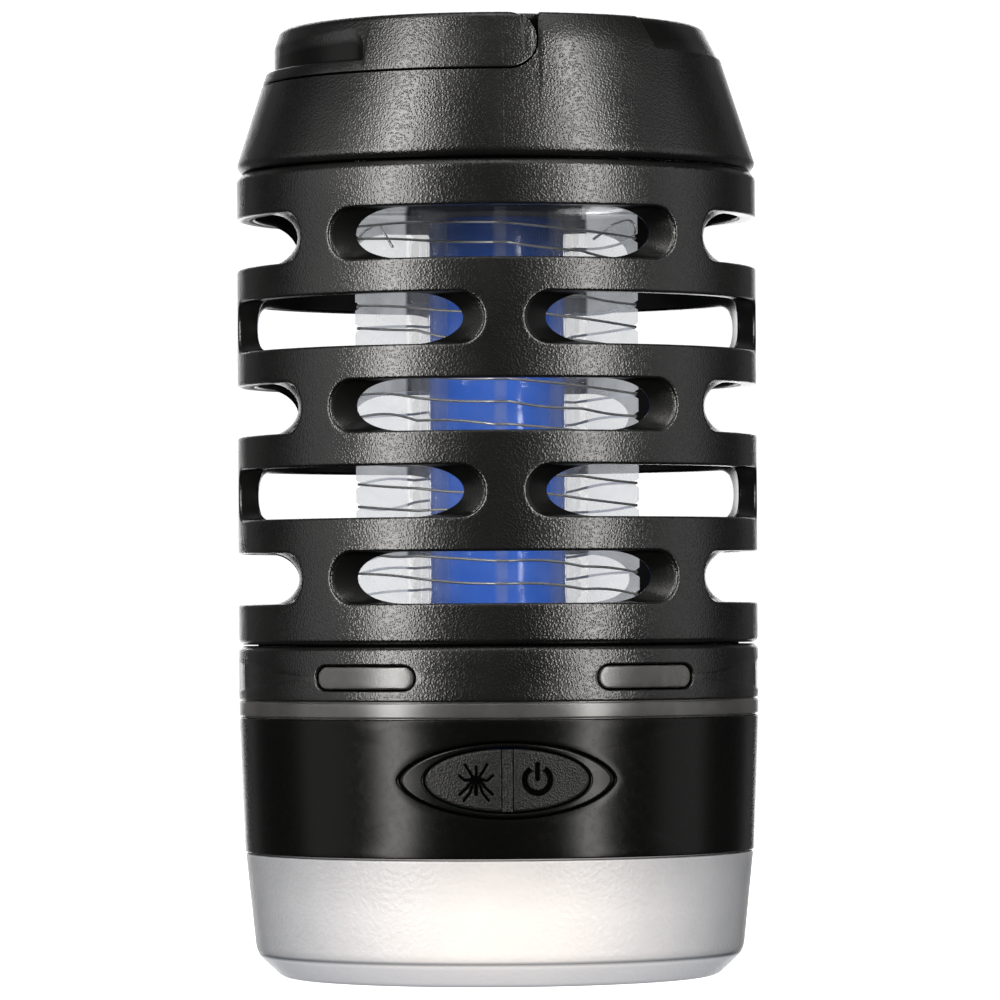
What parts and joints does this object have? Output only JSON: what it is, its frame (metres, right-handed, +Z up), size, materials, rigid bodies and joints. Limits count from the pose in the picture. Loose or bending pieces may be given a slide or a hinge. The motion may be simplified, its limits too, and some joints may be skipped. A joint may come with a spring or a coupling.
{
  "type": "electric bug zapper",
  "caption": "Portable round bug zapper: slotted guard round a wire grid and blue core, on a battery base with two buttons, a lamp below and a folding carry handle.",
  "frame": {"origin": "centre of the flat underside of the lamp cover, on the surface that the zapper stands on", "axes": "+Z up along the body, -Y towards the front with the two buttons, +Y towards the charging port"},
  "size_m": [0.088, 0.088, 0.1602],
  "materials": {
    "frosted_cover": "milky polycarbonate, fine satin grain",
    "white_board": "white solder mask",
    "led_phosphor": "phosphor under clear resin",
    "satin_black": "smooth moulded ABS with a satin shine",
    "black_rubber": "fine-grained moulded rubber",
    "black_nylon": "moulded nylon",
    "circuit_board": "green solder mask",
    "bright_steel": "bright drawn wire and plated fasteners",
    "ferrite": "sintered ferrite",
    "capacitor_red": "dipped film capacitor",
    "cell_wrap": "shrink sleeve",
    "smoke_grey": "smoke-tinted translucent plastic",
    "textured_black": "ABS with a fine leather grain moulded in",
    "clear_plastic": "clear polycarbonate",
    "core_blue": "blue-tinted polycarbonate"
  },
  "bodies": {
    "base": {"lamp_cover": "frosted_cover", "lamp_board": "white_board", "lamp_led_1": "led_phosphor", "lamp_led_2": "led_phosphor", "lamp_led_3": "led_phosphor", "lamp_led_4": "led_phosphor", "lamp_led_5": "led_phosphor", "lamp_led_6": "led_phosphor", "base_housing": "satin_black", "button_bezel": "satin_black", "button_web": "black_rubber", "zap_switch": "black_nylon", "light_switch": "black_nylon", "switch_board": "circuit_board", "charging_socket": "bright_steel", "main_board": "circuit_board", "step_up_transformer": "ferrite", "grid_capacitor": "capacitor_red", "filter_capacitor": "black_nylon", "battery_cell": "cell_wrap", "battery_holder": "black_nylon", "battery_contact_left": "bright_steel", "battery_contact_right": "bright_steel", "seal_ring": "smoke_grey", "base_collar": "textured_black", "window_lens_front_left": "smoke_grey", "window_lens_front_right": "smoke_grey", "window_lens_rear_right": "smoke_grey", "window_lens_rear_left": "smoke_grey", "base_screw_1": "bright_steel", "base_screw_2": "bright_steel", "base_screw_3": "bright_steel", "base_screw_4": "bright_steel", "cage_frame": "clear_plastic", "cage_cap": "clear_plastic", "uv_core": "core_blue", "uv_board": "white_board", "uv_led_1": "led_phosphor", "uv_led_2": "led_phosphor", "uv_led_3": "led_phosphor", "uv_led_4": "led_phosphor", "grid_wire_a": "bright_steel", "grid_wire_b": "bright_steel"},
    "guard": {"guard": "textured_black", "lid": "textured_black", "handle_pin_front": "bright_steel", "handle_pin_rear": "bright_steel", "lid_screw_1": "bright_steel", "lid_screw_2": "bright_steel", "lid_screw_3": "bright_steel", "lid_screw_4": "bright_steel"},
    "handle": {"carry_handle": "textured_black"},
    "zap_button": {"zap_button": "black_rubber"},
    "light_button": {"light_button": "black_rubber"},
    "port_flap": {"port_flap": "black_rubber"}
  },
  "joints": [
    {"name": "guard_lift", "type": "slide", "parent": "base", "child": "guard", "axis": [0, 0, 1], "range_m": [0, 0.08]},
    {"name": "handle_fold", "type": "hinge", "parent": "guard", "child": "handle", "pos_m": [0.001, 0, 0.1555], "axis": [0, 1, 0], "range_deg": [0, 90]},
    {"name": "zap_button_press", "type": "slide", "parent": "base", "child": "zap_button", "axis": [0, 1, 0], "range_m": [0, 0.0007], "stiffness_N_per_m": 2500},
    {"name": "light_button_press", "type": "slide", "parent": "base", "child": "light_button", "axis": [0, 1, 0], "range_m": [0, 0.0007], "stiffness_N_per_m": 2500},
    {"name": "port_flap_hinge", "type": "hinge", "parent": "base", "child": "port_flap", "pos_m": [0, 0.0436, 0.028], "axis": [-1, 0, 0], "range_deg": [0, 100]}
  ]
}
